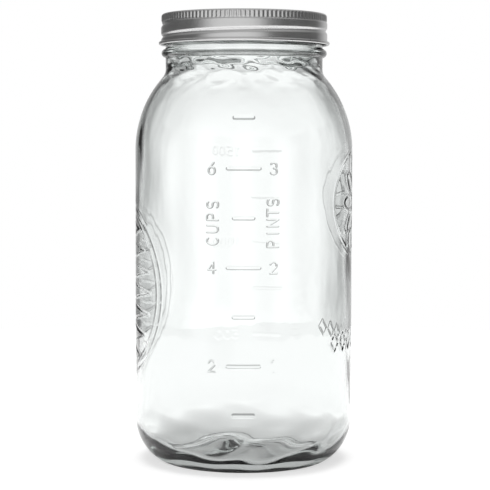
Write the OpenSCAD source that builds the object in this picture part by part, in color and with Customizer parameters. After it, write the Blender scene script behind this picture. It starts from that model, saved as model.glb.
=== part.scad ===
// Half-gallon wide-mouth canning jar with a two-piece screw closure, millimetres.
// The origin is the centre of the base on the surface that the jar stands on, +Z is up,
// and the cup and pint scale faces -Y.

/* [Jar body] */
// Outer diameter of the straight body
body_d = 115.6; // [108:0.2:122]
// Height of the glass, from the standing surface to the rim
jar_h = 235.2; // [215:0.2:260]
// Thickness of the body and shoulder wall
wall = 2.8; // [2.2:0.1:3.4]
// Radius of the rounded shoulder, seen from the side
shoulder_r = 58.5; // [54:0.5:64]
// Radius of the hollow curve between shoulder and neck
neck_fillet = 6.5; // [4:0.5:9]

/* [Jar base] */
// Radius of the rounded heel, seen from the side
heel_r = 25; // [22:0.5:28]
// Diameter of the ring that the jar stands on
contact_d = 87.8; // [80:0.2:92]
// Width of the flat on the standing ring
bearing_w = 1.6; // [1:0.1:3]
// Radius that turns the standing ring up into the heel
bearing_r = 3; // [2:0.5:5]
// Height of the hollow under the middle of the base
push_up = 3.2; // [1.5:0.1:5]
// Thickness of the glass in the middle of the base
base_t = 4; // [3.5:0.1:6]
// Radius of the heel on the inside
heel_in_r = 17; // [12:0.5:20]

/* [Neck finish] */
// Outer diameter of the neck and of the thread's root
neck_d = 83.4; // [82.4:0.2:84.6]
// Diameter of the mouth
mouth_d = 76.2; // [74:0.2:77.4]
// Radius on the outer edge of the rim
rim_round = 1; // [0.5:0.1:1.4]
// Height of the rim above the middle of the support bead
finish_h = 18.9; // [18.3:0.1:21]
// Height of the middle of the support bead above the foot of the neck
neck_h = 8.4; // [7:0.1:12]
// How far the support bead stands out of the neck
bead_out = 2.2; // [1.4:0.1:2.6]
// Height of the support bead
bead_h = 5.8; // [5:0.1:6.4]

/* [Thread pair] */
// Rise of the thread in one turn, four turns to the inch
thread_pitch = 6.35; // [5.8:0.05:7]
// How far the glass thread stands out of the neck
thread_depth = 1.65; // [1.4:0.05:1.9]
// Width of the glass thread at the neck
thread_root_w = 3; // [2.6:0.1:3.2]
// Width of the glass thread at its crest
thread_crest_w = 1.2; // [0.8:0.1:1.4]
// Turn at which the glass thread starts near the bead, in degrees from +X
thread_from = 24; // [0:1:60]
// Turn at which the glass thread ends under the rim, in degrees from +X
thread_to = 474; // [400:1:490]
// How far the rolled ridge of the band reaches behind the glass thread
bite = 0.5; // [0.4:0.05:0.7]
// Running gap between the flanks of the two threads
flank_gap = 0.2; // [0.16:0.02:0.3]
// Running gap between the crest of the glass thread and the band
crest_gap = 0.4; // [0.3:0.05:0.6]

/* [Lid disc] */
// Diameter of the lid disc
disc_d = 86; // [85:0.1:86.6]
// Thickness of the disc's plate
disc_t = 0.3; // [0.25:0.01:0.4]
// How far the middle of the disc lies below its rim channel
panel_drop = 1; // [0.6:0.1:1.4]
// Diameter of the recessed middle of the disc
panel_d = 66; // [60:0.5:70]
// Length of the sloping step between the middle and the rim channel
panel_slope = 1.4; // [1:0.1:2]
// How far the outer edge of the disc is turned down
disc_lip = 0.9; // [0.6:0.05:1]
// Thickness of the sealing ring under the rim channel
ring_t = 0.9; // [0.7:0.05:1.2]
// Width of the sealing ring
ring_w = 4.6; // [4:0.1:5]

/* [Screw band] */
// Thickness of the band's plate
sheet = 0.35; // [0.3:0.01:0.45]
// Height of the band
band_h = 16.3; // [15.9:0.1:16.6]
// Diameter of the opening in the top of the band
opening_d = 73; // [70:0.5:78]
// Radius of the band's top edge
crown_round = 1.2; // [0.8:0.1:1.6]
// Gap between the disc's edge and the crown of the band
crown_gap = 0.25; // [0.15:0.05:0.3]
// Number of ribs in the knurling round the crown
knurl_count = 128; // [96:1:144]
// How far the ribs of the knurling stand out
knurl_out = 0.3; // [0.2:0.05:0.4]
// Height of the ribs of the knurling
knurl_h = 3.2; // [2.4:0.1:3.4]
// Share of the knurling's pitch that a rib takes up at its foot
knurl_share = 0.7; // [0.5:0.05:0.85]
// Width of the rolled groove on the outside of the band
groove_w = 2.5; // [2.2:0.1:2.8]
// Depth of the groove's middle below the band's top, at the front
groove_drop = 10.4; // [10:0.1:10.8]
// Turn at which the groove starts above the hem, in degrees from +X
groove_from = 135; // [110:1:160]
// Turn at which the groove ends under the knurling, in degrees from +X
groove_to = 576; // [540:1:590]
// Width of the curled hem, across
hem_w = 1.6; // [1.4:0.05:1.9]
// Height of the curled hem
hem_h = 2.2; // [2:0.1:2.6]
// Gap between the disc and the top of the band
seat_gap = 0.1; // [0.05:0.05:0.2]

/* [Fill scale] */
// How far the scale stands out of the glass
relief = 0.5; // [0.3:0.05:0.8]
// Height of a scale bar
bar_h = 2.4; // [1.6:0.1:3]
// Length of the bars at even cups
long_bar = 18.2; // [14:0.2:22]
// Length of the bars at odd cups
short_bar = 12.1; // [8:0.1:14]
// Length of the millilitre bars at the back
back_bar = 18.5; // [14:0.5:22]
// Distance of the millilitre bars' middle from the middle of the back
back_bar_x = 13.7; // [12:0.1:16]

/* [Hidden] */
$fn = 96;

// Radii and heights of the glass, worked out from the dimensions above
body_r = body_d / 2;
body_in_r = body_r - wall;
contact_r = contact_d / 2;
neck_r = neck_d / 2;
mouth_r = mouth_d / 2;
crest_r = neck_r + thread_depth;
bead_z = jar_h - finish_h;
neck_z = bead_z - neck_h;
shoulder_c = body_r - shoulder_r;
shoulder_z = neck_z - sqrt(pow(shoulder_r + neck_fillet, 2) - pow(neck_r + neck_fillet - shoulder_c, 2));
shoulder_a = acos((neck_r + neck_fillet - shoulder_c) / (shoulder_r + neck_fillet));
heel_c = body_r - heel_r;
heel_z = bearing_r + sqrt(pow(heel_r - bearing_r, 2) - pow(contact_r - heel_c, 2));
heel_a = atan2(bearing_r - heel_z, contact_r - heel_c);
bead_r = (pow(bead_h / 2, 2) + pow(bead_out, 2)) / (2 * bead_out);
bead_a = asin(bead_h / 2 / bead_r);

// Inside of the glass: the shoulder follows the outside at the wall's thickness
shoulder_in_r = shoulder_r - wall;
neck_in_fillet = neck_fillet + wall;
neck_in_z = shoulder_z + sqrt(pow(shoulder_in_r + neck_in_fillet, 2)
    - pow(mouth_r + neck_in_fillet - shoulder_c, 2));
shoulder_in_a = acos((mouth_r + neck_in_fillet - shoulder_c) / (shoulder_in_r + neck_in_fillet));
floor_mid_z = push_up + base_t;
floor_edge_z = base_t + 0.1 * push_up;
hollow_r = contact_r - bearing_w - bearing_r;
hollow_edge_z = 0.3 * push_up;

// Closure, stacked from the rim up
ring_z = jar_h;
channel_z = ring_z + ring_t;
disc_top_z = channel_z + disc_t;
flange_z = disc_top_z + seat_gap;
top_z = flange_z + sheet;
disc_r = disc_d / 2;
panel_r = panel_d / 2;
skirt_in_r = crest_r + crest_gap;
skirt_r = skirt_in_r + sheet;
crown_in_r = disc_r + crown_gap;
crown_r = crown_in_r + sheet;
knurl_top = top_z - crown_round;
knurl_z = knurl_top - knurl_h;
crown_foot_z = knurl_z - 0.1;
skirt_top_z = crown_foot_z - (skirt_r - crown_r);
ridge_tip_r = crest_r - bite;
hem_z = top_z - band_h;
hem_round = hem_w / 2;

// The ridge inside the band is the back of the groove outside it, a plate's thickness away
groove_depth = skirt_r - ridge_tip_r - sheet;
groove_floor_w = groove_w - 1.8 * groove_depth;
ridge_root_w = groove_w + 2 * sheet;
ridge_tip_w = groove_floor_w + 2 * sheet;
ridge_z = top_z - groove_drop;
ridge_w_at_crest = ridge_tip_w + (ridge_root_w - ridge_tip_w) * bite / (skirt_in_r - ridge_tip_r);
thread_z = ridge_z + (ridge_w_at_crest + thread_crest_w) / 2 + flank_gap;

// Turning the threads into facets
turn_step = 5;
fade_turn = 40;
front_turn = 270;
bury = 0.18;

// Volume of a US cup in cubic millimetres, and of a millilitre
cup = 236588;
ml = 1000;
cups = [1, 2, 3, 4, 5, 6, 7];
back_ml = [500, 750, 1000, 1250, 1500];

function arc(c, r, from, to, n) =
    [for (i = [0:n]) let (a = from + (to - from) * i / n) c + r * [cos(a), sin(a)]];

// A shallow dome from the axis to the radius r, its middle above its edge
function dome(r, edge_z, mid_z, n) =
    [for (i = [0:n]) let (s = i / n) [r * s, mid_z + (edge_z - mid_z) * s * s]];

function outside() = concat(
    [[contact_r - bearing_w, 0]],
    arc([contact_r, bearing_r], bearing_r, -90, heel_a, 6),
    arc([heel_c, heel_z], heel_r, heel_a, 0, 16),
    arc([shoulder_c, shoulder_z], shoulder_r, 0, shoulder_a, 20),
    arc([neck_r + neck_fillet, neck_z], neck_fillet, 180 + shoulder_a, 180, 8),
    arc([neck_r + bead_out - bead_r, bead_z], bead_r, -bead_a, bead_a, 14),
    arc([neck_r - rim_round, jar_h - rim_round], rim_round, 0, 90, 5));

function inside() = concat(
    arc([mouth_r + rim_round / 2, jar_h - rim_round / 2], rim_round / 2, 90, 180, 3),
    arc([mouth_r + neck_in_fillet, neck_in_z], neck_in_fillet, 180, 180 + shoulder_in_a, 10),
    arc([shoulder_c, shoulder_z], shoulder_in_r, shoulder_in_a, 0, 20),
    arc([body_in_r - heel_in_r, floor_edge_z + heel_in_r], heel_in_r, 0, -90, 16),
    reverse(dome(body_in_r - heel_in_r, floor_edge_z, floor_mid_z, 8)));

function underside() = dome(hollow_r, hollow_edge_z, push_up, 8);

function reverse(list) = [for (i = [len(list) - 1:-1:0]) list[i]];

// Room inside the glass below the height z, as a stack of cone slices
function slice(a, b, z) = let (
    top = max(a.y, b.y),
    low = min(a.y, b.y),
    cut = min(max(z, low), top),
    ra = a.y < b.y ? a.x : b.x,
    rb = a.y < b.y ? b.x : a.x,
    rc = top == low ? ra : ra + (rb - ra) * (cut - low) / (top - low))
    PI / 3 * (cut - low) * (ra * ra + ra * rc + rc * rc) * (a.y > b.y ? 1 : -1);
function room_below(z) = let (p = inside()) sum([for (i = [0:len(p) - 2]) slice(p[i], p[i + 1], z)]);
function sum(list, i = 0) = i < len(list) ? list[i] + sum(list, i + 1) : 0;

// Height to which a volume fills the jar
function fill_z(volume, low = 0, high = jar_h, n = 24) = let (mid = (low + high) / 2)
    n == 0 ? mid
    : room_below(mid) > volume ? fill_z(volume, low, mid, n - 1)
    : fill_z(volume, mid, high, n - 1);

// Outer radius of the body and shoulder at the height z
function skin_r(z) = z < shoulder_z ? body_r
    : shoulder_c + sqrt(pow(shoulder_r, 2) - pow(z - shoulder_z, 2));

// Height of a helix at the turn a, when it passes the front at the height z
function helix_z(z, a) = z + thread_pitch * (a - front_turn) / 360;

// Share of its full size that a thread has at the turn a, between its two ends
function fade(a, from, to) = min(1, min(a - from, to - a) / fade_turn);

// A rib along the helix: base_r is buried in the wall, tip_r is its crest
module helical_rib(z, base_r, tip_r, base_w, tip_w, from, to) {
    steps = ceil((to - from) / turn_step);
    points = [for (i = [0:steps])
        let (
            a = from + (to - from) * i / steps,
            f = max(0, fade(a, from, to)),
            tip = base_r + (tip_r - base_r) * (0.12 + 0.88 * f),
            shrink = 0.4 + 0.6 * f,
            h = helix_z(z, a))
        for (p = [[base_r, -base_w], [tip, -tip_w], [tip, tip_w], [base_r, base_w]])
            [p.x * cos(a), p.x * sin(a), h + p.y * shrink / 2]];
    sides = [for (i = [0:steps - 1], j = [0:3])
        let (k = 4 * i, m = (j + 1) % 4)
        for (t = [[k + j, k + m, k + 4 + m], [k + j, k + 4 + m, k + 4 + j]]) t];
    ends = [[0, 2, 1], [0, 3, 2],
        [4 * steps, 4 * steps + 1, 4 * steps + 2], [4 * steps, 4 * steps + 2, 4 * steps + 3]];
    faces = concat(sides, ends);
    polyhedron(points, tip_r > base_r ? faces : [for (t = faces) [t.x, t.z, t.y]]);
}

// The glass shell, turned about its axis
module glass_shell() {
    rotate_extrude()
        polygon(concat(outside(), inside(), underside()));
}

// Solid of the body and shoulder, larger than the glass by the height of the scale
module relief_skin() {
    rotate_extrude()
        polygon(concat(
            [[0, bearing_r], [heel_c, bearing_r]],
            arc([heel_c, heel_z], heel_r + relief, heel_a, 0, 8),
            arc([shoulder_c, shoulder_z], shoulder_r + relief, 0, shoulder_a, 20),
            [[0, neck_z]]));
}

// One round-ended bar of the scale, as a block that the relief skin cuts to its height
module bar_block(length, x, z) {
    foot = skin_r(z + bar_h / 2) - wall / 2;
    reach = body_r + relief + 1;
    run = length - bar_h;
    translate([x, -foot, z])
        rotate([90, 0, 0])
            linear_extrude(reach - foot)
                union() {
                    square([run, bar_h], center = true);
                    for (side = [-1, 1])
                        translate([side * run / 2, 0])
                            circle(d = bar_h);
                }
}

module scale_bars() {
    intersection() {
        relief_skin();
        union() {
            for (n = cups)
                bar_block(n % 2 == 0 ? long_bar : short_bar, 0, fill_z(n * cup));
            for (n = back_ml)
                rotate([0, 0, 180])
                    bar_block(back_bar, -back_bar_x, fill_z(n * ml));
        }
    }
}

module jar() {
    color([0.86, 0.9, 0.9, 0.4])
        union() {
            glass_shell();
            scale_bars();
            helical_rib(thread_z, neck_r - 0.4, crest_r, thread_root_w, thread_crest_w,
                thread_from, thread_to);
        }
}

module lid_disc() {
    slope_r = panel_r + panel_slope;
    low = channel_z - panel_drop;
    color([0.78, 0.78, 0.78])
        rotate_extrude()
            polygon(concat(
                [[0, low], [panel_r, low], [slope_r, channel_z], [disc_r - disc_t, channel_z],
                 [disc_r - disc_t, channel_z - disc_lip], [disc_r, channel_z - disc_lip]],
                arc([disc_r - disc_t, channel_z], disc_t, 0, 90, 5),
                [[slope_r, disc_top_z], [panel_r, low + disc_t], [0, low + disc_t]]));
}

module sealing_ring() {
    ring_out_r = disc_r - disc_t;
    color([0.62, 0.57, 0.5])
        translate([0, 0, ring_z])
            difference() {
                cylinder(r = ring_out_r, h = ring_t);
                translate([0, 0, -1])
                    cylinder(r = ring_out_r - ring_w, h = ring_t + 2);
            }
}

// Section of the band: flange, rounded top edge, crown, skirt and the hem curled outward
module band_section() {
    opening_r = opening_d / 2;
    round_c = [crown_r - crown_round, top_z - crown_round];
    hem_low = hem_z + hem_round;
    hem_high = hem_z + hem_h - hem_round;
    hem_c = skirt_in_r + hem_round;
    polygon(concat(
        [[opening_r, flange_z]],
        arc(round_c, crown_round - sheet, 90, 0, 5),
        [[crown_in_r, crown_foot_z], [skirt_in_r, skirt_top_z]],
        arc([hem_c, hem_low], hem_round, 180, 360, 12),
        arc([hem_c, hem_high], hem_round, 0, 120, 8),
        arc([hem_c, hem_high], hem_round - sheet, 120, 0, 8),
        arc([hem_c, hem_low], hem_round - sheet, 360, 180, 12),
        [[skirt_r, skirt_top_z], [crown_r, crown_foot_z]],
        arc(round_c, crown_round, 0, 90, 6),
        [[opening_r, top_z]]));
}

// Ribs round the crown: a wheel of straight teeth, cut to a ring with sloping ends
module knurling() {
    pitch = 360 / knurl_count;
    foot = pitch * knurl_share / 2;
    tip = foot / 2;
    foot_r = crown_r - sheet / 2;
    tip_r = crown_r + knurl_out;
    wheel = [for (i = [0:knurl_count - 1])
        for (p = [[foot_r, -foot], [tip_r, -tip], [tip_r, tip], [foot_r, foot]])
            p.x * [cos(i * pitch + p.y), sin(i * pitch + p.y)]];
    intersection() {
        translate([0, 0, knurl_z])
            linear_extrude(knurl_h)
                polygon(wheel);
        rotate_extrude()
            polygon([[foot_r - sheet / 4, knurl_z], [crown_r, knurl_z], [tip_r, knurl_z + knurl_out],
                [tip_r, knurl_top - knurl_out], [crown_r, knurl_top], [foot_r - sheet / 4, knurl_top]]);
    }
}

module screw_band() {
    color([0.74, 0.74, 0.73])
        difference() {
            union() {
                rotate_extrude()
                    band_section();
                knurling();
                helical_rib(ridge_z, skirt_in_r + bury, ridge_tip_r, ridge_root_w, ridge_tip_w,
                    groove_from, groove_to);
            }
            helical_rib(ridge_z, skirt_r + bury, skirt_r - groove_depth, groove_w, groove_floor_w,
                groove_from, groove_to);
        }
}

jar();
lid_disc();
sealing_ring();
screw_band();
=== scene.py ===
"""Looks of a half-gallon wide-mouth canning jar with its two-piece screw closure.

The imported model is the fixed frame. The glass, the band, the disc and the sealing ring are
each built here as one closed mesh with the curves, relief and rolled forms of the real piece.
"""

import math

import bpy
import numpy as np
from mathutils import Matrix, Vector

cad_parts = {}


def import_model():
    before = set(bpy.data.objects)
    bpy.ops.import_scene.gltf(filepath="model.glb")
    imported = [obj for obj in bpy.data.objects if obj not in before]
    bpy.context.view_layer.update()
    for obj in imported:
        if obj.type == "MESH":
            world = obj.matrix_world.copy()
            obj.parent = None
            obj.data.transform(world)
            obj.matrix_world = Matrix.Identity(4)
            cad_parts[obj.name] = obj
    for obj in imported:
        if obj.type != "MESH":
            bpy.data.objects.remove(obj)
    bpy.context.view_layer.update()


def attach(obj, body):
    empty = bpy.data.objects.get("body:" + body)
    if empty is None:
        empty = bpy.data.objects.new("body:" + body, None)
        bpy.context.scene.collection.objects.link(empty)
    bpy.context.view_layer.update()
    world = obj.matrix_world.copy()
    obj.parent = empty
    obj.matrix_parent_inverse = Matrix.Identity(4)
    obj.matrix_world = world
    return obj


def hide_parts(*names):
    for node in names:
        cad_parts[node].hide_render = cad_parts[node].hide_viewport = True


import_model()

MM = 0.001
TURN = 2 * math.pi

# Glass, in millimetres: the same driving sizes as the solid's source
BODY_R = 57.8
WALL = 2.8
JAR_H = 235.2
SHOULDER_R = 58.5
NECK_FILLET = 6.5
HEEL_R = 25.0
HEEL_IN_R = 17.0
CONTACT_R = 43.9
BEARING_W = 1.6
BEARING_R = 3.0
PUSH_UP = 3.2
BASE_T = 4.0
NECK_R = 41.7
MOUTH_R = 38.1
RIM_ROUND = 1.0
BEAD_Z = JAR_H - 18.9
NECK_Z = BEAD_Z - 8.4
BEAD_OUT = 2.2
BEAD_H = 4.4
BEAD_FILLET = 0.7
BEAD_FOOT = 0.35
FLOOR_EDGE_SHARE = 0.1
HOLLOW_EDGE_SHARE = 0.3
HOLLOW_EASE = 0.8
HOLLOW_EASE_Z = 0.15
RIM_POINTS = 5
ROW_GAP = 1.0

# Thread pair
PITCH = 6.35
THREAD_DEPTH = 1.65
THREAD_ROOT_W = 3.0
THREAD_CREST_W = 1.2
ROOT_EASE = 0.3
CREST_EASE = 0.1
THREAD_FRONT_Z = 228.34
THREAD_TURNS = (24.0, 474.0)
GROOVE_FRONT_Z = 226.45
GROOVE_TURNS = (60.0, 590.0)
GROOVE_DEPTH = 0.9
GROOVE_SPREAD = 0.95
FADE_TURN = 40.0

# Closure
SHEET = 0.35
DISC_T = 0.3
DISC_EDGE_ROUND = 0.6
DISC_LIP = 0.9
PANEL_DROP = 1.0
PANEL_CROWN = 0.45
RING_T = 0.9
RING_W = 4.6
SEAT_GAP = 0.1
TOP_Z = JAR_H + RING_T + DISC_T + SEAT_GAP + SHEET
BAND_H = 16.3
OPENING_R = 36.5
DISC_R = 43.0
CROWN_GAP = 0.25
CREST_GAP = 0.4
CROWN_R = DISC_R + CROWN_GAP + SHEET
SKIRT_R = NECK_R + THREAD_DEPTH + CREST_GAP + SHEET
CROWN_ROUND = 0.8
KNURL_COUNT = 120
KNURL_OUT = 0.3
KNURL_H = 3.6
KNURL_LOW = TOP_Z - CROWN_ROUND - KNURL_H
KNURL_TOP = TOP_Z - 0.4 * CROWN_ROUND
RIB_FULLNESS = 1.15
RIB_FADE_LOW = 0.7
RIB_FADE_TOP = 0.9
CROWN_STEP = 0.4
HEM_W = 1.6
HEM_H = 2.0
HEM_FLAT = 0.2

# Blown inner wall: size, count round the jar, rise in mm for each radian, and phase of each wave
WALL_WAVES = ((0.10, 3, 21.0, 0.0), (0.07, 5, -13.0, 1.0), (0.05, 9, 9.0, 0.0))
NECK_WAVES = ((0.22, 7, 2.3, 0.0), (0.16, 13, -1.7, 2.0), (0.10, 23, 1.0, 0.0))
HEEL_WAVES = ((0.25, 4, 3.0, 0.0), (0.18, 11, -2.2, 0.0))
NECK_WAVE_SHARE = 0.6
NECK_WAVE_LOW, NECK_WAVE_HIGH = 196, 216
HEEL_WAVE_TOP = 30
FINISH_CALM_H = 14
FLOOR_CALM_R = 25.0
LEDGE_Z = 210.0
LEDGE_OUT = 0.45
LEDGE_LOW = 200
LEDGE_W = 1.4

# Fill scale: a US cup and a millilitre in cubic millimetres
CUP = 236588.0
ML = 1000.0
RELIEF = 0.5


def arc(c, r, start, end, n):
    """Points of a circular arc in the section plane, angles in degrees."""
    a = np.radians(np.linspace(start, end, n + 1))
    return np.column_stack([c[0] + r * np.cos(a), c[1] + r * np.sin(a)])


def dome(r, edge_z, mid_z, n):
    """Shallow dome from the axis out to the radius r."""
    s = np.linspace(0, 1, n + 1)
    return np.column_stack([r * s, mid_z + (edge_z - mid_z) * s * s])


# Section of the glass, worked out from the sizes above
SHOULDER_C = BODY_R - SHOULDER_R
NECK_REACH = NECK_R + NECK_FILLET - SHOULDER_C
SHOULDER_Z = NECK_Z - math.sqrt((SHOULDER_R + NECK_FILLET) ** 2 - NECK_REACH ** 2)
SHOULDER_A = math.acos(NECK_REACH / (SHOULDER_R + NECK_FILLET))
HEEL_C = BODY_R - HEEL_R
HEEL_Z = BEARING_R + math.sqrt((HEEL_R - BEARING_R) ** 2 - (CONTACT_R - HEEL_C) ** 2)
HEEL_A = math.degrees(math.atan2(BEARING_R - HEEL_Z, CONTACT_R - HEEL_C))
BODY_IN_R = BODY_R - WALL
SHOULDER_IN_R = SHOULDER_R - WALL
NECK_IN_FILLET = NECK_FILLET + WALL
MOUTH_REACH = MOUTH_R + NECK_IN_FILLET - SHOULDER_C
NECK_IN_Z = SHOULDER_Z + math.sqrt((SHOULDER_IN_R + NECK_IN_FILLET) ** 2 - MOUTH_REACH ** 2)
SHOULDER_IN_A = math.degrees(math.acos(MOUTH_REACH / (SHOULDER_IN_R + NECK_IN_FILLET)))
FLOOR_MID_Z = PUSH_UP + BASE_T
FLOOR_EDGE_Z = BASE_T + FLOOR_EDGE_SHARE * PUSH_UP
HOLLOW_R = CONTACT_R - BEARING_W - BEARING_R
HOLLOW_EDGE_Z = HOLLOW_EDGE_SHARE * PUSH_UP


def inside_section(n):
    """Inner wall from the mouth down to the middle of the floor, n points to a small round."""
    neck_rows, body_rows = 16, 5 * n
    mouth = np.linspace(JAR_H - 1.5 * RIM_ROUND, NECK_IN_Z + ROW_GAP, neck_rows)
    body = np.linspace(SHOULDER_Z - 3 * ROW_GAP, FLOOR_EDGE_Z + HEEL_IN_R + 3 * ROW_GAP, body_rows)
    return np.vstack([
        arc((MOUTH_R + RIM_ROUND / 2, JAR_H - RIM_ROUND / 2), RIM_ROUND / 2, 90, 180, RIM_POINTS - 1),
        np.column_stack([np.full(neck_rows, MOUTH_R), mouth]),
        arc((MOUTH_R + NECK_IN_FILLET, NECK_IN_Z), NECK_IN_FILLET, 180, 180 + SHOULDER_IN_A, n),
        arc((SHOULDER_C, SHOULDER_Z), SHOULDER_IN_R, SHOULDER_IN_A, 0, 2 * n)[1:],
        np.column_stack([np.full(body_rows, BODY_IN_R), body]),
        arc((BODY_IN_R - HEEL_IN_R, FLOOR_EDGE_Z + HEEL_IN_R), HEEL_IN_R, 0, -90, 2 * n),
        dome(BODY_IN_R - HEEL_IN_R, FLOOR_EDGE_Z, FLOOR_MID_Z, n)[-2:0:-1]])


def room_below(z, section):
    """Volume inside the glass below the height z, in cubic millimetres."""
    total = 0.0
    for (ra, za), (rb, zb) in zip(section[:-1], section[1:]):
        low, top = min(za, zb), max(za, zb)
        if top - low < 1e-9:
            continue
        cut = min(max(z, low), top)
        r_low, r_top = (ra, rb) if za < zb else (rb, ra)
        r_cut = r_low + (r_top - r_low) * (cut - low) / (top - low)
        slice_v = math.pi / 3 * (cut - low) * (r_low ** 2 + r_low * r_cut + r_cut ** 2)
        total += slice_v if za > zb else -slice_v
    return total


def fill_z(volume):
    """Height to which a volume fills the jar."""
    section = np.vstack([inside_section(12), [[0.0, FLOOR_MID_Z]]])
    low, high = 0.0, JAR_H
    for _ in range(30):
        mid = (low + high) / 2
        if room_below(mid, section) > volume:
            high = mid
        else:
            low = mid
    return low


def smooth_step(x):
    """Eases from 0 to 1 while x does."""
    s = np.clip(x, 0, 1)
    return s * s * (3 - 2 * s)


def skin_r(z):
    """Outer radius of the glass between heel and neck."""
    z = np.asarray(z, float)
    heel = HEEL_C + np.sqrt(np.maximum(HEEL_R ** 2 - np.minimum(z - HEEL_Z, 0) ** 2, 0))
    shoulder = SHOULDER_C + np.sqrt(np.maximum(SHOULDER_R ** 2 - np.maximum(z - SHOULDER_Z, 0) ** 2, 0))
    return np.where(z < HEEL_Z, heel, shoulder)


class MeshParts:
    """Vertices and faces of one closed mesh, gathered ring by ring."""

    def __init__(self):
        self.points, self.faces, self.count = [], [], 0

    def add(self, points):
        """Adds points and returns their numbers."""
        first = self.count
        self.points.append(np.asarray(points, float))
        self.count += len(points)
        return np.arange(first, self.count)

    def ring(self, r, z, columns):
        """A ring round the axis. r and z may vary from column to column."""
        a = np.arange(columns) * TURN / columns
        r, z = np.broadcast_to(r, columns), np.broadcast_to(z, columns)
        return self.add(np.column_stack([r * np.cos(a), r * np.sin(a), z]))

    def bridge(self, low, high):
        """Faces between two rings, away from the axis when high is above.

        Their counts are equal, or differ by a whole factor.
        """
        if len(low) == len(high):
            quads = np.column_stack([low, np.roll(low, -1), np.roll(high, -1), high])
            self.faces += quads.tolist()
            return
        many, few = (low, high) if len(low) > len(high) else (high, low)
        k = len(many) // len(few)
        for i, here in enumerate(few):
            after = few[(i + 1) % len(few)]
            base = [many[(i * k + j) % len(many)] for j in range(k + 1)]
            fan = [[base[j], base[j + 1], here if j < k // 2 else after] for j in range(k)]
            fan.append([base[k // 2], after, here])
            self.faces += fan if many is low else [face[::-1] for face in fan]

    def wall(self, last, outline, columns, rising):
        """Rings along an outline of (r, z), joined to the last ring. Returns the new last one.

        A rising wall faces away from the axis where it goes up, any other where it goes down.
        """
        for r, z in outline:
            ring = self.ring(r, z, columns)
            if last is not None and rising:
                self.bridge(last, ring)
            elif last is not None:
                self.bridge(ring, last)
            last = ring
        return last

    def cap(self, ring, z, up):
        """Closes a ring with a fan from the axis."""
        centre = self.add([[0.0, 0.0, z]])[0]
        for a, b in zip(ring, np.roll(ring, -1)):
            self.faces.append([centre, a, b] if up else [centre, b, a])

    def build(self, name):
        """The mesh as an object in the scene, in metres."""
        mesh = bpy.data.meshes.new(name)
        points = np.vstack(self.points) * MM
        mesh.from_pydata(points.tolist(), [], [[int(v) for v in face] for face in self.faces])
        mesh.update()
        mesh.shade_smooth()
        piece = bpy.data.objects.new(name, mesh)
        bpy.context.scene.collection.objects.link(piece)
        return piece


# Relief: strokes on the unrolled wall, x along the wall and y up, in millimetres
# The wall has square cells of CELL steps a side, halved up to three times where strokes are
GRID_COLUMNS = 1440
GRID_STEP = TURN * BODY_R / GRID_COLUMNS
SKIN_LOW = 24.0
SKIN_ROWS = 672
SKIN_STEP = 0.25
CELL = 8
STROKE_MARGIN = 0.6
GLYPH_H = 1.45


def ellipse(cx, cy, rx, ry, start, end, n):
    """Points on an ellipse, angles in degrees."""
    a = np.radians(np.linspace(start, end, n + 1))
    return [(cx + rx * math.cos(t), cy + ry * math.sin(t)) for t in a]


# Plain stroke figures and letters, each in a box 1 wide and 1.45 high
GLYPHS = {
    "0": [ellipse(0.5, 0.725, 0.42, 0.675, 0, 360, 24)],
    "1": [[(0.3, 1.2), (0.55, 1.4), (0.55, 0.05)]],
    "2": [ellipse(0.5, 1.0, 0.38, 0.4, 165, -30, 12) + [(0.1, 0.05), (0.9, 0.05)]],
    "3": [ellipse(0.48, 1.06, 0.36, 0.34, 150, -85, 12) + ellipse(0.48, 0.4, 0.4, 0.36, 85, -150, 12)],
    "4": [[(0.7, 0.05), (0.7, 1.4), (0.08, 0.45), (0.95, 0.45)]],
    "5": [[(0.86, 1.4), (0.24, 1.4), (0.16, 0.78)] + ellipse(0.47, 0.46, 0.41, 0.42, 130, -145, 14)],
    "6": [[(0.74, 1.38), (0.3, 0.85)] + ellipse(0.5, 0.46, 0.39, 0.42, 155, -205, 20)],
    "C": [ellipse(0.54, 0.725, 0.46, 0.675, 50, 310, 18)],
    "U": [[(0.1, 1.4), (0.1, 0.5)] + ellipse(0.5, 0.5, 0.4, 0.45, 180, 360, 12) + [(0.9, 1.4)]],
    "P": [[(0.12, 0.05), (0.12, 1.4), (0.5, 1.4)] + ellipse(0.5, 1.03, 0.38, 0.37, 90, -90, 10)
          + [(0.12, 0.66)]],
    "S": [ellipse(0.5, 1.04, 0.37, 0.34, 35, 270, 12) + ellipse(0.5, 0.37, 0.39, 0.34, 90, -145, 12)],
    "I": [[(0.5, 0.05), (0.5, 1.4)]],
    "N": [[(0.1, 0.05), (0.1, 1.4), (0.9, 0.05), (0.9, 1.4)]],
    "T": [[(0.5, 0.05), (0.5, 1.4)], [(0.06, 1.4), (0.94, 1.4)]],
    "m": [[(0.05, 0.05), (0.05, 0.95)], ellipse(0.27, 0.7, 0.22, 0.25, 180, 0, 8) + [(0.49, 0.05)],
          ellipse(0.71, 0.7, 0.22, 0.25, 180, 0, 8) + [(0.93, 0.05)]],
    "l": [[(0.4, 1.4), (0.4, 0.05)]],
}


def word(text, x, y, height, gap, upright=True):
    """Strokes of a word centred at (x, y). Not upright, it reads up the wall."""
    size = height / GLYPH_H
    step = size * (1 + gap)
    length = step * len(text) - gap * size
    strokes = []
    for i, letter in enumerate(text):
        for stroke in GLYPHS[letter]:
            line = []
            for px, py in stroke:
                along = i * step + px * size - length / 2
                up = py * size - height / 2
                line.append((x + along, y + up) if upright else (x - up, y + along))
            strokes.append(line)
    return strokes


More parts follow.
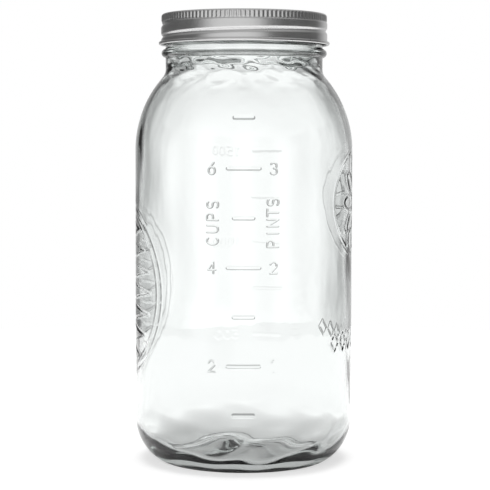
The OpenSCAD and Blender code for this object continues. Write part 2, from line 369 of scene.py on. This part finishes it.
class Relief:
    """How far the wall stands out or in over its unrolled face, and how fine the mesh is there."""

    def __init__(self):
        self.height = np.zeros((GRID_COLUMNS, SKIN_ROWS + 1), np.float32)
        self.level = np.zeros((GRID_COLUMNS, SKIN_ROWS + 1), np.int8)

    def stroke(self, line, middle, half_w, edge, out, level):
        """A line that stands out, or in where out is below 0. x counts from the turn middle."""
        reach = half_w + STROKE_MARGIN
        for (xa, ya), (xb, yb) in zip(line[:-1], line[1:]):
            start = math.radians(middle) * BODY_R
            i0 = math.floor((start + min(xa, xb) - reach) / GRID_STEP)
            i1 = math.ceil((start + max(xa, xb) + reach) / GRID_STEP)
            j0 = max(0, math.floor((min(ya, yb) - reach - SKIN_LOW) / SKIN_STEP))
            j1 = min(SKIN_ROWS, math.ceil((max(ya, yb) + reach - SKIN_LOW) / SKIN_STEP))
            if j1 < j0:
                continue
            i, j = np.meshgrid(np.arange(i0, i1 + 1), np.arange(j0, j1 + 1), indexing="ij")
            x, y = i * GRID_STEP - start, SKIN_LOW + j * SKIN_STEP
            dx, dy = xb - xa, yb - ya
            t = np.clip(((x - xa) * dx + (y - ya) * dy) / max(dx * dx + dy * dy, 1e-9), 0, 1)
            d = np.hypot(x - xa - t * dx, y - ya - t * dy)
            h = out * smooth_step((half_w - d) / edge)
            col = i % GRID_COLUMNS
            old = self.height[col, j]
            self.height[col, j] = np.where(np.abs(h) > np.abs(old), h, old)
            self.level[col, j] = np.maximum(self.level[col, j], np.where(d < reach, level, 0))


# How fine the mesh is under a stroke, and the turn of each side of the jar in degrees
FINE, MEDIUM = 3, 2
FRONT, RIGHT, BACK, LEFT = 270.0, 0.0, 90.0, 180.0
BAR_H = 2.4
LONG_BAR = 18.2
SHORT_BAR = 12.1
BACK_BAR = 18.5
BACK_BAR_X = 13.7
FIGURE_H = 6.2
CUP_FIGURE_X, PINT_FIGURE_X = -16.2, 15.2
CUP_WORD_X, PINT_WORD_X = -15.8, 14.8
WORD_DROP = 2.4
BACK_OUT = 0.26
BACK_FIGURE_H = 5.2
BACK_FIGURE_X, BACK_UNIT_X = 10.2, 9.0
FRAME_IN, LOZENGE_IN, PETAL_IN = -0.16, -0.32, -0.45


def bar(relief, middle, x, z, length, edge=0.8, out=RELIEF - 0.03, level=FINE):
    """A level bar with round ends."""
    run = (length - BAR_H) / 2
    relief.stroke([(x - run, z), (x + run, z)], middle, BAR_H / 2, edge, out, level)


def write(relief, middle, strokes, half_w=0.58, out=0.45, level=FINE):
    """Lines of lettering, rounded over their whole width."""
    for line in strokes:
        relief.stroke(line, middle, half_w, half_w, out, level)


def front_scale(relief):
    """Cups on the left of the bars and pints on their right, as raised figures."""
    for n in range(1, 8):
        bar(relief, FRONT, 0.0, fill_z(n * CUP), SHORT_BAR if n % 2 else LONG_BAR)
    for n in (2, 4, 6):
        z = fill_z(n * CUP)
        write(relief, FRONT, word(str(n), CUP_FIGURE_X, z, FIGURE_H, 0.3))
        write(relief, FRONT, word(str(n // 2), PINT_FIGURE_X, z, FIGURE_H, 0.3))
    middle_z = fill_z(5 * CUP) - WORD_DROP
    write(relief, FRONT, word("CUPS", CUP_WORD_X, middle_z, FIGURE_H, 0.42, upright=False))
    write(relief, FRONT, word("PINTS", PINT_WORD_X, middle_z, FIGURE_H, 0.22, upright=False))


def back_scale(relief):
    """Millilitres at the back, as someone standing behind the jar reads them."""
    for n in (500, 750, 1000, 1250, 1500):
        z = fill_z(n * ML)
        bar(relief, BACK, -BACK_BAR_X, z, BACK_BAR, 1.0, BACK_OUT, MEDIUM)
        if n % 500 == 0:
            figures = word(str(n), BACK_FIGURE_X, z, BACK_FIGURE_H, 0.25)
            write(relief, BACK, figures, 0.7, BACK_OUT, MEDIUM)
    unit = word("ml", BACK_UNIT_X, fill_z(250 * ML), BACK_FIGURE_H, 0.3)
    write(relief, BACK, unit, 0.7, BACK_OUT, MEDIUM)


def side_ornament(relief):
    """Plain pressed-glass ornament on the two sides: an oval of lozenges, a rosette and a border.

    It is pressed in, so the body stays as wide as its solid.
    """
    low_z, high_z, oval_w = 46.0, 136.0, 44
    mid_z, half = (low_z + high_z) / 2, (high_z - low_z) / 2
    for inset in (0.0, 4.0):
        frame_line = ellipse(0, mid_z, oval_w - inset, half - inset, 0, 360, 72)
        relief.stroke(frame_line, LEFT, 0.9, 0.8, FRAME_IN, MEDIUM)
    step, rise = 11.0, 5
    for k in range(-3, 4):
        z, w = mid_z + k * step, 34.0 * math.cos(k * 0.32)
        lozenge = [(-w, z), (0, z + rise), (w, z), (0, z - rise), (-w, z)]
        relief.stroke(lozenge, LEFT, 0.8, 0.65, LOZENGE_IN, MEDIUM)
    rose_z, petals = 138.0, 10
    for k in range(petals):
        a = TURN * k / petals
        c, s = math.cos(a), math.sin(a)
        plain_petal = ellipse(16, 0, 9.0, 4.0, 0, 360, 16)
        petal = [(c * u - s * v, rose_z + s * u + c * v) for u, v in plain_petal]
        relief.stroke(petal, RIGHT, 0.75, 0.6, PETAL_IN, MEDIUM)
    relief.stroke(ellipse(0, rose_z, 37, 29, 0, 360, 60), RIGHT, 0.9, 0.8, FRAME_IN, MEDIUM)
    z, w, h = 66.0, 3.5, 4.5
    for k in range(-4, 5):
        x = k * 9.0
        lozenge = [(x - w, z), (x, z + h), (x + w, z), (x, z - h), (x - w, z)]
        relief.stroke(lozenge, RIGHT, 0.7, 0.6, PETAL_IN, MEDIUM)


def pooled(mask, size):
    """True for each block of size by size cells that holds a True."""
    n, m = mask.shape
    return mask.reshape(n // size, size, m // size, size).any(axis=(1, 3))


def spread(mask):
    """The mask with its eight neighbours, closed round the jar."""
    wide = mask | np.roll(mask, 1, 0) | np.roll(mask, -1, 0)
    tall = wide.copy()
    tall[:, 1:] |= wide[:, :-1]
    tall[:, :-1] |= wide[:, 1:]
    return tall


def skin_cells(level):
    """Square cells that cover the wall, small where the relief is: (column, row, size) of each."""
    need = level[:, :-1] | level[:, 1:] | np.roll(level, -1, 0)[:, :-1]
    split = {2: pooled(need >= FINE, 2)}
    split[4] = pooled(need >= MEDIUM, 4) | pooled(spread(split[2]), 2)
    split[8] = pooled(need >= 1, 8) | pooled(spread(split[4]), 2)
    cells = []
    here = np.ones((GRID_COLUMNS // CELL, SKIN_ROWS // CELL), bool)
    for size in (8, 4, 2, 1):
        cut = split.get(size, np.zeros_like(here)) & here
        i, j = np.nonzero(here & ~cut)
        cells.append(np.column_stack([i * size, j * size, np.full(len(i), size)]))
        here = np.repeat(np.repeat(cut, 2, 0), 2, 1)
    return np.vstack(cells)


def skin(parts, relief):
    """The outer wall between heel and shoulder. Returns its lowest and highest ring."""
    cells = skin_cells(relief.level)
    corner = np.zeros((GRID_COLUMNS, SKIN_ROWS + 1), bool)
    for di, dj in ((0, 0), (1, 0), (1, 1), (0, 1)):
        corner[(cells[:, 0] + di * cells[:, 2]) % GRID_COLUMNS, cells[:, 1] + dj * cells[:, 2]] = True
    faces = []
    used = corner.copy()
    for i, j, size in cells.tolist():
        if size == 1:
            k = (i + 1) % GRID_COLUMNS
            faces.append([(i, j), (k, j), (k, j + 1), (i, j + 1)])
            continue
        half = size // 2
        rim = [(0, 0), (half, 0), (size, 0), (size, half), (size, size), (half, size), (0, size), (0, half)]
        loop = [((i + a) % GRID_COLUMNS, j + b) for a, b in rim]
        loop = [p for p in loop if corner[p]]
        if len(loop) == 4:
            faces.append(loop)
        else:
            mid = ((i + half) % GRID_COLUMNS, j + half)
            used[mid] = True
            faces += [[mid, a, b] for a, b in zip(loop, loop[1:] + loop[:1])]
    i, j = np.nonzero(used)
    index = np.full(used.shape, -1)
    a, z = i * TURN / GRID_COLUMNS, SKIN_LOW + j * SKIN_STEP
    r = skin_r(z) + relief.height[i, j]
    index[i, j] = parts.add(np.column_stack([r * np.cos(a), r * np.sin(a), z]))
    parts.faces += [[int(index[p]) for p in face] for face in faces]
    columns = np.arange(0, GRID_COLUMNS, CELL)
    return index[columns, 0], index[columns, SKIN_ROWS]


def turns_round(angle, z, front_z, start, end):
    """Signed distance in z from the nearest turn of a helix, and its share of full size there."""
    best = np.full(np.broadcast(angle, z).shape, 1e9)
    share = np.zeros_like(best)
    for lap in range(-1, 3):
        a = angle + 360.0 * lap
        f = np.clip(np.minimum(a - start, end - a) / FADE_TURN, 0, 1)
        d = z - (front_z + PITCH * (a - FRONT) / 360.0)
        closer = (np.abs(d) < np.abs(best)) & (f > 0)
        best = np.where(closer, d, best)
        share = np.where(closer, f, share)
    return best, smooth_step(share)


FINISH_COLUMNS = 360
SKIN_TOP = SKIN_LOW + SKIN_ROWS * SKIN_STEP


def finish_r(angle, z):
    """Outer radius of the neck, bead and thread at a height z above the shoulder."""
    join_z = NECK_Z - NECK_FILLET * math.sin(SHOULDER_A)
    if z < join_z:
        return np.full(angle.shape, float(skin_r(z)))
    if z < NECK_Z:
        fillet = math.sqrt(NECK_FILLET ** 2 - (NECK_Z - z) ** 2)
        return np.full(angle.shape, NECK_R + NECK_FILLET - fillet)
    bead_r = ((BEAD_H / 2) ** 2 + BEAD_OUT ** 2) / (2 * BEAD_OUT)
    off = abs(z - BEAD_Z)
    foot = BEAD_H / 2
    r = NECK_R
    if off < foot:
        r = max(r, NECK_R + BEAD_OUT - bead_r + math.sqrt(max(bead_r ** 2 - off ** 2, 0)))
    if foot - BEAD_FILLET < off < foot + BEAD_FILLET:
        r += BEAD_FOOT * BEAD_FILLET * (1 - abs(off - foot) / BEAD_FILLET) ** 2
    d, share = turns_round(angle, np.full(angle.shape, z), THREAD_FRONT_Z, *THREAD_TURNS)
    half_root, half_crest = THREAD_ROOT_W / 2 + ROOT_EASE, THREAD_CREST_W / 2 - CREST_EASE
    rib = smooth_step((half_root - np.abs(d)) / (half_root - half_crest))
    return r + THREAD_DEPTH * rib * share


def waves(a, z, table):
    """Sum of the waves of a table at the turn a, in radians, and the height z."""
    return sum(size * np.sin(count * a + z / rise + phase) for size, count, rise, phase in table)


def inner_wave(angle, z):
    """How far the blown inner wall wanders from its section, with a chill ledge in the neck."""
    a = np.radians(angle)
    neck = smooth_step((z - NECK_WAVE_LOW) / 8) * smooth_step((NECK_WAVE_HIGH - z) / 4)
    heel = smooth_step((HEEL_WAVE_TOP - z) / 12)
    top = smooth_step((JAR_H - FINISH_CALM_H - z) / 6)
    body = waves(a, z, WALL_WAVES) + neck * waves(a, z, NECK_WAVES) * NECK_WAVE_SHARE
    ledge_z = LEDGE_Z + 0.9 * np.sin(3 * a + 0.6) + 0.5 * np.sin(8 * a)
    ledge = LEDGE_OUT * smooth_step((ledge_z - z) / LEDGE_W + 0.5) * smooth_step((z - LEDGE_LOW) / 6)
    return (body + heel * waves(a, z, HEEL_WAVES)) * top + ledge


def glass_piece():
    """The jar: skin with relief, finish, rim, inner wall, floor, hollow base, as one closed mesh."""
    relief = Relief()
    front_scale(relief)
    back_scale(relief)
    side_ornament(relief)
    parts = MeshParts()
    skin_low, skin_high = skin(parts, relief)
    coarse = GRID_COLUMNS // CELL

    # Outside, from the skin down over the heel and the standing ring to the hollow
    flat_r = CONTACT_R - BEARING_W
    down = np.vstack([
        arc((HEEL_C, HEEL_Z), HEEL_R, 0, HEEL_A, 26),
        arc((CONTACT_R, BEARING_R), BEARING_R, HEEL_A, -90, 6)[1:],
        [[CONTACT_R - BEARING_W / 2, 0.0], [flat_r, 0.0]],
        [[flat_r - k * HOLLOW_EASE, (2 * k - 1) * HOLLOW_EASE_Z] for k in (1, 2)],
        dome(HOLLOW_R, HOLLOW_EDGE_Z, PUSH_UP, 12)[-1:0:-1]])
    parts.cap(parts.wall(skin_low, down, coarse, rising=False), PUSH_UP, up=False)

    # Outside, from the skin up to the rim
    angle = np.arange(FINISH_COLUMNS) * 360.0 / FINISH_COLUMNS
    near, far = 3.2, 3.6
    rows = np.concatenate([
        np.linspace(SKIN_TOP + 0.6, BEAD_Z - far, 22),
        np.linspace(BEAD_Z - near, BEAD_Z + near, 25),
        np.linspace(BEAD_Z + far, JAR_H - RIM_ROUND, 40)])
    finish = [(finish_r(angle, z), z) for z in rows]
    finish += list(arc((NECK_R - RIM_ROUND, JAR_H - RIM_ROUND), RIM_ROUND, 15, 90, 5))
    section = inside_section(14)
    finish += list(section[:RIM_POINTS])
    last = parts.wall(skin_high, finish, FINISH_COLUMNS, rising=True)

    # Inside, from the rim down to the middle of the floor, each point moved along its normal
    angle = np.arange(coarse) * 360.0 / coarse
    steps = section[2:] - section[:-2]
    steps = np.vstack([steps, section[-1] - section[-2]])[RIM_POINTS - 1:]
    inside = []
    for (r, z), (dr, dz) in zip(section[RIM_POINTS:], steps):
        w = inner_wave(angle, z) * smooth_step(r / FLOOR_CALM_R) if inside else 0.0
        run = math.hypot(dr, dz)
        inside.append((r - w * dz / run, z + w * dr / run))
    parts.cap(parts.wall(last, inside, coarse, rising=True), FLOOR_MID_Z, up=True)
    return parts.build("glass_jar")


def band_outside(angle, z):
    """Outer radius of the band's wall below its rounded top edge."""
    ribs = smooth_step((0.5 + 0.5 * np.cos(np.radians(angle * KNURL_COUNT))) * RIB_FULLNESS)
    reach = smooth_step((z - KNURL_LOW) / RIB_FADE_LOW) * smooth_step((KNURL_TOP - z) / RIB_FADE_TOP)
    wall = CROWN_R + (SKIRT_R - CROWN_R) * smooth_step(KNURL_LOW + CROWN_STEP - z)
    d, share = turns_round(angle, np.full(angle.shape, z), GROOVE_FRONT_Z, *GROOVE_TURNS)
    groove = GROOVE_DEPTH * np.exp(-(d / GROOVE_SPREAD) ** 2) * share
    return wall + KNURL_OUT * ribs * reach - groove


def band_piece():
    """The screw band: flange, knurled crown, rolled thread and the hem curled outward."""
    parts = MeshParts()
    fine, plain = KNURL_COUNT * 8, KNURL_COUNT * 4
    fine_angle = np.arange(fine) * 360.0 / fine
    angle = np.arange(plain) * 360.0 / plain
    hem_low = TOP_Z - BAND_H + (HEM_H - HEM_FLAT) / 2
    hem_high = hem_low + HEM_FLAT
    hem_round = HEM_W / 2
    hem_c = SKIRT_R - SHEET + hem_round
    crown = (CROWN_R - CROWN_ROUND, TOP_Z - CROWN_ROUND)

    # The flange, from its inner edge to the rounded top edge
    first = parts.ring(OPENING_R, TOP_Z - SHEET / 2, plain)
    flange = [(OPENING_R + 0.12, TOP_Z - 0.04), (OPENING_R + 0.4, TOP_Z)]
    flange += [(r, TOP_Z) for r in np.linspace(OPENING_R + 1.2, crown[0] - 0.1, 6)]
    last = parts.wall(first, flange, plain, rising=False)

    # The ribs, which start in the rounded edge
    ribbed = []
    for a in np.radians(np.linspace(84, 6, 8)):
        z = crown[1] + CROWN_ROUND * math.sin(a)
        ribs = (band_outside(fine_angle, z) - CROWN_R) * math.cos(a)
        ribbed.append((crown[0] + CROWN_ROUND * math.cos(a) + ribs, z))
    ribbed += [(band_outside(fine_angle, z), z) for z in np.linspace(crown[1] - 0.3, KNURL_LOW - 0.2, 10)]
    last = parts.wall(last, ribbed, fine, rising=False)

    # The rolled thread, the hem out, down and back under, and the inside up to the flange
    outside = np.linspace(KNURL_LOW - 0.5, hem_high + hem_round + 0.2, 36)
    skirt = [(band_outside(angle, z), z) for z in outside]
    skirt.append((SKIRT_R + 0.02, hem_high + hem_round * 0.9))
    skirt += list(arc((hem_c, hem_high), hem_round, 70, 0, 6))
    skirt += list(arc((hem_c, hem_low), hem_round, 0, -180, 14))
    for z in np.linspace(hem_low + 0.4, KNURL_LOW - 0.6, 36):
        skirt.append((np.minimum(band_outside(angle, z) - SHEET, SKIRT_R - SHEET), z))
    skirt += [(CROWN_R - SHEET, KNURL_LOW + 0.2), (CROWN_R - SHEET, KNURL_LOW + 1.8)]
    skirt += list(arc(crown, CROWN_ROUND - SHEET, 0, 90, 5))
    skirt += [(OPENING_R + 2.0, TOP_Z - SHEET), (OPENING_R + 0.3, TOP_Z - SHEET)]
    parts.bridge(first, parts.wall(last, skirt, plain, rising=False))
    return parts.build("tinplate_band")


def disc_piece():
    """The lid disc: recessed middle with a faint crown, step, sealing channel and turned edge."""
    channel_z = JAR_H + RING_T
    low = channel_z - PANEL_DROP
    edge = (DISC_R - DISC_EDGE_ROUND, channel_z - DISC_T)
    rises = [(8.0, 0.42), (20.0, 0.34), (26.0, 0.22), (29.0, 0.05), (30.2, 0.0), (32.6, 0.0), (33.2, 0.08),
             (34.2, 0.86), (34.8, PANEL_DROP), (38.0, PANEL_DROP), (41.8, PANEL_DROP)]
    outline = [(r, low + rise + DISC_T) for r, rise in rises]
    outline += list(arc(edge, DISC_EDGE_ROUND, 80, 0, 5))
    outline += [(DISC_R, channel_z - 0.6), (DISC_R - 0.05, channel_z - DISC_LIP)]
    outline += [(DISC_R - DISC_T + 0.05, channel_z - DISC_LIP), (DISC_R - DISC_T, channel_z - 0.55)]
    outline += list(arc(edge, DISC_EDGE_ROUND - DISC_T, 0, 80, 4))
    outline += [(r, low + rise) for r, rise in reversed(rises)]
    parts = MeshParts()
    columns = 240
    first = parts.ring(*outline[0], columns)
    parts.cap(first, low + PANEL_CROWN + DISC_T, up=True)
    parts.cap(parts.wall(first, outline[1:], columns, rising=False), low + PANEL_CROWN, up=False)
    return parts.build("lid_plate")


def ring_piece():
    """The sealing ring: flowed-in compound with rounded shoulders towards the rim."""
    out_r, in_r = DISC_R - DISC_T - 0.02, DISC_R - DISC_T - RING_W
    low, high = JAR_H, JAR_H + RING_T
    section = [(out_r, high), (out_r, low + 0.35), (out_r - 0.15, low + 0.1), (out_r - 0.4, low),
               (in_r + 0.9, low), (in_r + 0.4, low + 0.12), (in_r + 0.1, low + 0.45)]
    parts = MeshParts()
    columns = 180
    first = parts.ring(in_r, high, columns)
    parts.bridge(first, parts.wall(first, section, columns, rising=False))
    return parts.build("seal_compound")


def new_material(name):
    """A material with its node tree and its shader."""
    mat = bpy.data.materials.new(name)
    mat.use_nodes = True
    nodes, links = mat.node_tree.nodes, mat.node_tree.links
    return mat, nodes, links, nodes["Principled BSDF"]


def noise(nodes, links, coords, scale, detail, stretch=(1, 1, 1)):
    """Cloudy noise in the object's own space."""
    mapping = nodes.new("ShaderNodeMapping")
    mapping.inputs["Scale"].default_value = stretch
    links.new(coords, mapping.inputs["Vector"])
    tex = nodes.new("ShaderNodeTexNoise")
    tex.inputs["Scale"].default_value = scale
    tex.inputs["Detail"].default_value = detail
    links.new(mapping.outputs["Vector"], tex.inputs["Vector"])
    return tex.outputs["Fac"]


def ramp(nodes, links, value, low, high, start=0.0, end=1.0):
    """Maps a value from start to end onto low to high."""
    node = nodes.new("ShaderNodeMapRange")
    node.inputs["From Min"].default_value = start
    node.inputs["From Max"].default_value = end
    node.inputs["To Min"].default_value = low
    node.inputs["To Max"].default_value = high
    links.new(value, node.inputs["Value"])
    return node.outputs["Result"]


def bump(nodes, links, height, distance, strength):
    """Surface normal of a height, distance in metres."""
    node = nodes.new("ShaderNodeBump")
    node.inputs["Distance"].default_value = distance
    node.inputs["Strength"].default_value = strength
    links.new(height, node.inputs["Height"])
    return node.outputs["Normal"]


def glass_material():
    """Clear pressed glass, slightly uneven, a little darker where it is thick."""
    mat, nodes, links, bsdf = new_material("pressed_glass")
    bsdf.inputs["Base Color"].default_value = (0.985, 0.992, 0.99, 1)
    bsdf.inputs["Roughness"].default_value = 0.0
    bsdf.inputs["IOR"].default_value = 1.52
    bsdf.inputs["Transmission Weight"].default_value = 1.0
    coords = nodes.new("ShaderNodeTexCoord").outputs["Object"]
    slow = noise(nodes, links, coords, 60.0, 2.0, (1, 1, 0.5))
    links.new(bump(nodes, links, slow, 0.0006, 0.25), bsdf.inputs["Normal"])
    volume = nodes.new("ShaderNodeVolumeAbsorption")
    volume.inputs["Color"].default_value = (0.90, 0.93, 0.92, 1)
    volume.inputs["Density"].default_value = 85.0
    links.new(volume.outputs["Volume"], nodes["Material Output"].inputs["Volume"])
    return mat


def tinplate_material(name, tint, rough):
    """Satin tinplate: rolled grain, soft mottling, and a duller bloom here and there."""
    mat, nodes, links, bsdf = new_material(name)
    bsdf.inputs["Metallic"].default_value = 1.0
    coords = nodes.new("ShaderNodeTexCoord").outputs["Object"]
    grain = noise(nodes, links, coords, 900.0, 3.0)
    mottle = noise(nodes, links, coords, 140.0, 4.0)
    mix = nodes.new("ShaderNodeMix")
    mix.data_type = "RGBA"
    mix.inputs["A"].default_value = (tint * 0.94, tint * 0.94, tint * 0.935, 1)
    mix.inputs["B"].default_value = (tint * 1.05, tint * 1.05, tint * 1.05, 1)
    links.new(mottle, mix.inputs["Factor"])
    links.new(mix.outputs["Result"], bsdf.inputs["Base Color"])
    add = nodes.new("ShaderNodeMath")
    add.operation = "ADD"
    links.new(ramp(nodes, links, grain, -0.05, 0.05), add.inputs[0])
    links.new(ramp(nodes, links, mottle, rough - 0.05, rough + 0.06), add.inputs[1])
    links.new(add.outputs[0], bsdf.inputs["Roughness"])
    links.new(bump(nodes, links, grain, 0.00004, 0.5), bsdf.inputs["Normal"])
    return mat


def compound_material():
    """Dull grey-brown sealing compound."""
    mat, nodes, links, bsdf = new_material("sealing_compound")
    coords = nodes.new("ShaderNodeTexCoord").outputs["Object"]
    cloud = noise(nodes, links, coords, 300.0, 4.0)
    mix = nodes.new("ShaderNodeMix")
    mix.data_type = "RGBA"
    mix.inputs["A"].default_value = (0.33, 0.31, 0.28, 1)
    mix.inputs["B"].default_value = (0.42, 0.39, 0.35, 1)
    links.new(cloud, mix.inputs["Factor"])
    links.new(mix.outputs["Result"], bsdf.inputs["Base Color"])
    links.new(ramp(nodes, links, cloud, 0.5, 0.68), bsdf.inputs["Roughness"])
    links.new(bump(nodes, links, cloud, 0.0001, 0.4), bsdf.inputs["Normal"])
    return mat


# Studio, in metres. Each pair of levels belongs to the pair of its span.
FLOOR_R = 0.6
FLOOR_Z = -0.00005
FLOOR_GLOW = 1.1
FLOOR_CAMERA_SHARE = 0.55
# Painted shade: the floor seen through the glass is darker close under the jar, over this span from the
# middle
FLOOR_PAINTED_SHADE = (0.42, 1.02)
FLOOR_PAINTED_SHADE_SPAN = (0.02, 0.15)
WINDOWS = 8.0
WALL_LEVELS, WALL_SPAN = (0.32, 1.14), (-0.7, 0.9)
CEILING_LEVELS, CEILING_SPAN = (1.0, 0.06), (0.0, 0.45)
DARK = 0.13
KEY_TURN = math.radians(14)
KEY_LEVELS, KEY_SPAN = (DARK, 0.95), (0.6, 0.88)
BACKDROP_LEVELS, BACKDROP_SPAN = (DARK, 0.75), (-0.7, -0.95)
OVERHEAD_LEVELS, OVERHEAD_SPAN = (DARK, 0.7), (0.35, 0.95)
AMBIENT = 0.55

# Camera that took the photograph, its focal length in pixels of the photograph
CAMERA_D = 0.850
CAMERA_Z = 0.172
CAMERA_X = 0.00072
CAMERA_PITCH = 3.88
CAMERA_ROLL = 0.15
FOCAL_PX = 1588.8
FRAME_PX = 490.0


def camera():
    """The photograph's camera: in front of the jar, looking slightly down."""
    data = bpy.data.cameras.new("camera")
    data.sensor_width = 36.0
    data.lens = FOCAL_PX * data.sensor_width / FRAME_PX
    data.clip_start, data.clip_end = 0.05, 20.0
    cam = bpy.data.objects.new("camera", data)
    bpy.context.scene.collection.objects.link(cam)
    cam.location = (CAMERA_X, -CAMERA_D, CAMERA_Z)
    tilt = Matrix.Rotation(math.radians(90 - CAMERA_PITCH), 4, "X")
    roll = Matrix.Rotation(math.radians(CAMERA_ROLL), 4, "Z")
    cam.rotation_euler = (tilt @ roll).to_euler()
    bpy.context.scene.camera = cam


def floor():
    """Round pale floor, white to the camera but for its shadow; seen through the glass it is greyer close
    under the jar, a painted shadow.
    """
    parts = MeshParts()
    ring = parts.ring(FLOOR_R / MM, FLOOR_Z / MM, 96)
    parts.cap(ring, FLOOR_Z / MM, up=True)
    plane = parts.build("floor")
    mat, nodes, links, bsdf = new_material("floor")
    bsdf.inputs["Base Color"].default_value = (0.9, 0.9, 0.9, 1)
    bsdf.inputs["Roughness"].default_value = 0.9
    bsdf.inputs["Specular IOR Level"].default_value = 0.1
    path = nodes.new("ShaderNodeLightPath")
    away = nodes.new("ShaderNodeVectorMath")
    away.operation = "LENGTH"
    links.new(nodes.new("ShaderNodeTexCoord").outputs["Object"], away.inputs[0])
    # Painted shadow: seen through the glass, the floor's glow darkens close under the jar
    near = ramp(nodes, links, away.outputs["Value"], *FLOOR_PAINTED_SHADE, *FLOOR_PAINTED_SHADE_SPAN)
    level = nodes.new("ShaderNodeMix")
    links.new(path.outputs["Is Transmission Ray"], level.inputs["Factor"])
    level.inputs["A"].default_value = FLOOR_GLOW
    links.new(near, level.inputs["B"])
    glow = nodes.new("ShaderNodeEmission")
    links.new(level.outputs["Result"], glow.inputs["Strength"])
    share = nodes.new("ShaderNodeMath")
    share.operation = "MULTIPLY_ADD"
    share.inputs[1].default_value = FLOOR_CAMERA_SHARE
    links.new(path.outputs["Is Camera Ray"], share.inputs[0])
    links.new(path.outputs["Is Transmission Ray"], share.inputs[2])
    mix = nodes.new("ShaderNodeMixShader")
    links.new(share.outputs[0], mix.inputs["Fac"])
    links.new(bsdf.outputs["BSDF"], mix.inputs[1])
    links.new(glow.outputs["Emission"], mix.inputs[2])
    links.new(mix.outputs["Shader"], nodes["Material Output"].inputs["Surface"])
    plane.data.materials.append(mat)


def area_lamp(name, place, target, size, power):
    """A square softbox that lights but is neither mirrored nor seen through the glass."""
    data = bpy.data.lights.new(name, "AREA")
    data.shape = "SQUARE"
    data.size = size
    data.energy = power
    lamp = bpy.data.objects.new(name, data)
    lamp.location = place
    lamp.visible_glossy = False
    lamp.visible_transmission = False
    lamp.rotation_euler = (Vector(target) - Vector(place)).to_track_quat("-Z", "Y").to_euler()
    bpy.context.scene.collection.objects.link(lamp)


def world():
    """White to the camera. Through glass, white behind the jar with greyer studio walls beside it."""
    scene_world = bpy.data.worlds.new("studio")
    bpy.context.scene.world = scene_world
    scene_world.use_nodes = True
    nodes, links = scene_world.node_tree.nodes, scene_world.node_tree.links
    nodes.clear()
    out = nodes.new("ShaderNodeOutputWorld")
    path = nodes.new("ShaderNodeLightPath")
    coords = nodes.new("ShaderNodeTexCoord")
    split = nodes.new("ShaderNodeSeparateXYZ")
    links.new(coords.outputs["Generated"], split.inputs["Vector"])

    def math_node(operation, a, b):
        node = nodes.new("ShaderNodeMath")
        node.operation = operation
        for slot, value in ((0, a), (1, b)):
            if isinstance(value, (int, float)):
                node.inputs[slot].default_value = value
            else:
                links.new(value, node.inputs[slot])
        return node.outputs[0]

    azimuth = math_node("ARCTAN2", split.outputs["X"], split.outputs["Y"])
    # Windows: bright every eighth of a turn, so that every main view has white behind the glass
    beat = nodes.new("ShaderNodeMath")
    beat.operation = "COSINE"
    links.new(math_node("MULTIPLY", azimuth, WINDOWS), beat.inputs[0])
    walls = ramp(nodes, links, beat.outputs[0], *WALL_LEVELS, *WALL_SPAN)
    height = split.outputs["Z"]
    ceiling = ramp(nodes, links, height, *CEILING_LEVELS, *CEILING_SPAN)
    through = math_node("MULTIPLY", walls, ceiling)
    # Broad softbox a little left of the camera, dark beside it, the white backdrop behind the jar
    facing = math_node("ADD", math_node("MULTIPLY", split.outputs["X"], -math.sin(KEY_TURN)),
                       math_node("MULTIPLY", split.outputs["Y"], -math.cos(KEY_TURN)))
    box = ramp(nodes, links, facing, *KEY_LEVELS, *KEY_SPAN)
    backdrop = ramp(nodes, links, facing, *BACKDROP_LEVELS, *BACKDROP_SPAN)
    overhead = ramp(nodes, links, height, *OVERHEAD_LEVELS, *OVERHEAD_SPAN)
    shine = math_node("MAXIMUM", math_node("MAXIMUM", box, backdrop), overhead)
    # A ray that came through glass counts as glossy too, so the mirrored ones are what is left
    mirrored = math_node("GREATER_THAN", path.outputs["Is Glossy Ray"], path.outputs["Is Transmission Ray"])
    level = math_node("ADD", math_node("MULTIPLY", path.outputs["Is Transmission Ray"], through),
                      math_node("MULTIPLY", mirrored, shine))
    level = math_node("ADD", level, path.outputs["Is Camera Ray"])
    level = math_node("ADD", level, math_node("MULTIPLY", path.outputs["Is Diffuse Ray"], AMBIENT))
    background = nodes.new("ShaderNodeBackground")
    background.inputs["Color"].default_value = (1, 1, 1, 1)
    links.new(level, background.inputs["Strength"])
    links.new(background.outputs["Background"], out.inputs["Surface"])


def lamps():
    """Key left of the camera, fill on its right, and a large soft one overhead."""
    area_lamp("key", (-0.55, -1.3, 0.75), (0, 0, 0.16), 0.7, 6.0)
    area_lamp("fill", (1.1, -0.9, 0.5), (0, 0, 0.12), 0.5, 2.0)
    area_lamp("top", (0.0, 0.1, 1.3), (0, 0, 0.1), 0.9, 20.0)


def dress():
    """Builds the pieces, each riding on its body and taking the place of its solid."""
    band = tinplate_material("band_tinplate", tint=0.62, rough=0.3)
    disc = tinplate_material("disc_tinplate", tint=0.66, rough=0.26)
    made = (
        (glass_piece(), "glass", "jar", "clear_glass", glass_material()),
        (band_piece(), "band", "screw_band", "band_tinplate", band),
        (disc_piece(), "lid", "lid_disc", "disc_tinplate", disc),
        (ring_piece(), "lid", "sealing_ring", "sealing_compound", compound_material()),
    )
    for piece, body, node, slot, material in made:
        piece.data.materials.append(material)
        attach(piece, body)
        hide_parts(node)


camera()
world()
lamps()
floor()
dress()
bpy.context.scene.view_settings.view_transform = "Standard"
